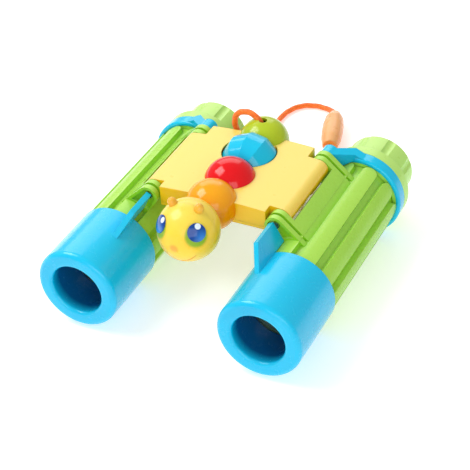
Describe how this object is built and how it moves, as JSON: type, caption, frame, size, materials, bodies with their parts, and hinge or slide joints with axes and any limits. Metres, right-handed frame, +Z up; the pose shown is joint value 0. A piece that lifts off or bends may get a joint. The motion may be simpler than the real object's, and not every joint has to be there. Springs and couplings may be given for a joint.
{
  "type": "toy binoculars",
  "caption": "Folding toy binoculars with ribbed barrels, capped objectives, a focusing wheel among the balls of a grub on the bridge, and a neck cord with a bead.",
  "frame": {"origin": "on the surface the toy lies on, under the middle of the toy without its cord", "axes": "+X to the right barrel seen from the objectives' side, +Y from objectives to eyepieces, +Z up"},
  "size_m": [0.132, 0.2135, 0.0643],
  "materials": {
    "bridge_yellow": "moulded, glossy",
    "bridge_amber": "moulded, glossy",
    "screw_steel": "zinc plated",
    "rod_steel": "drawn",
    "clip_steel": "pressed",
    "inner_plastic": "natural moulding",
    "head_yellow": "moulded, glossy",
    "eye_print": "printed, glossy",
    "antenna_orange": "moulded, glossy",
    "segment_orange": "moulded, glossy",
    "segment_red": "moulded, glossy",
    "segment_green": "moulded, glossy",
    "wheel_blue": "moulded, glossy",
    "cord_orange": "twisted cord",
    "bead_peach": "moulded, satin",
    "barrel_green": "moulded, glossy",
    "cap_blue": "moulded, glossy",
    "lens_clear": "polished acrylic",
    "eyepiece_green": "moulded, glossy",
    "ring_blue": "moulded, glossy"
  },
  "bodies": {
    "bridge": {"bridge_top_cover": "bridge_yellow", "bridge_bottom_cover": "bridge_amber", "bridge_screws": "screw_steel", "spindle_bush_front": "inner_plastic", "spindle_bush_rear": "inner_plastic", "head_front_shell": "head_yellow", "head_rear_shell": "head_yellow", "head_eye_left": "eye_print", "head_eye_right": "eye_print", "antenna_left": "antenna_orange", "antenna_right": "antenna_orange", "neck_peg": "inner_plastic", "segment_orange": "segment_orange", "segment_red": "segment_red", "segment_tail": "segment_green", "neck_cord_upper": "cord_orange", "neck_cord_lower": "cord_orange", "cord_hank": "cord_orange", "cord_tie": "cord_orange", "cord_bead": "bead_peach"},
    "focus_wheel": {"focus_wheel": "wheel_blue", "focus_spindle": "rod_steel"},
    "focus_carriage": {"focus_carriage": "inner_plastic", "focus_rod_left": "rod_steel", "focus_rod_right": "rod_steel", "rod_clip_left": "clip_steel", "rod_clip_right": "clip_steel"},
    "barrel_left": {"barrel_shell_left": "barrel_green", "objective_cap_left": "cap_blue", "objective_lens_left": "lens_clear", "objective_retainer_left": "inner_plastic"},
    "eyepiece_left": {"eyepiece_housing_left": "eyepiece_green", "eyepiece_ring_left": "ring_blue", "eyepiece_guide_left": "inner_plastic", "eyepiece_lens_left": "lens_clear", "eyepiece_retainer_left": "inner_plastic"},
    "barrel_right": {"barrel_shell_right": "barrel_green", "objective_cap_right": "cap_blue", "objective_lens_right": "lens_clear", "objective_retainer_right": "inner_plastic"},
    "eyepiece_right": {"eyepiece_housing_right": "eyepiece_green", "eyepiece_ring_right": "ring_blue", "eyepiece_guide_right": "inner_plastic", "eyepiece_lens_right": "lens_clear", "eyepiece_retainer_right": "inner_plastic"}
  },
  "joints": [
    {"name": "right_barrel_fold", "type": "hinge", "parent": "bridge", "child": "barrel_right", "pos_m": [0.032, 0, 0.0448], "axis": [0, 1, 0], "range_deg": [0, 38]},
    {"name": "left_barrel_fold", "type": "hinge", "parent": "bridge", "child": "barrel_left", "pos_m": [-0.032, 0, 0.0448], "axis": [0, -1, 0], "range_deg": [0, 38]},
    {"name": "focus_turn", "type": "hinge", "parent": "bridge", "child": "focus_wheel", "pos_m": [0, 0.0179, 0.0459], "axis": [0, 1, 0], "range_deg": [0, 360]},
    {"name": "focus_slide", "type": "slide", "parent": "bridge", "child": "focus_carriage", "axis": [0, 1, 0], "range_m": [0, 0.005]},
    {"name": "left_eyepiece_slide", "type": "slide", "parent": "barrel_left", "child": "eyepiece_left", "axis": [0, 1, 0], "range_m": [0, 0.005]},
    {"name": "right_eyepiece_slide", "type": "slide", "parent": "barrel_right", "child": "eyepiece_right", "axis": [0, 1, 0], "range_m": [0, 0.005]}
  ],
  "couplings": [
    {"joint": "focus_turn", "follows": "focus_slide", "rad_per_m": 1256.6},
    {"joint": "left_eyepiece_slide", "follows": "focus_slide", "ratio": 1},
    {"joint": "right_eyepiece_slide", "follows": "focus_slide", "ratio": 1}
  ]
}
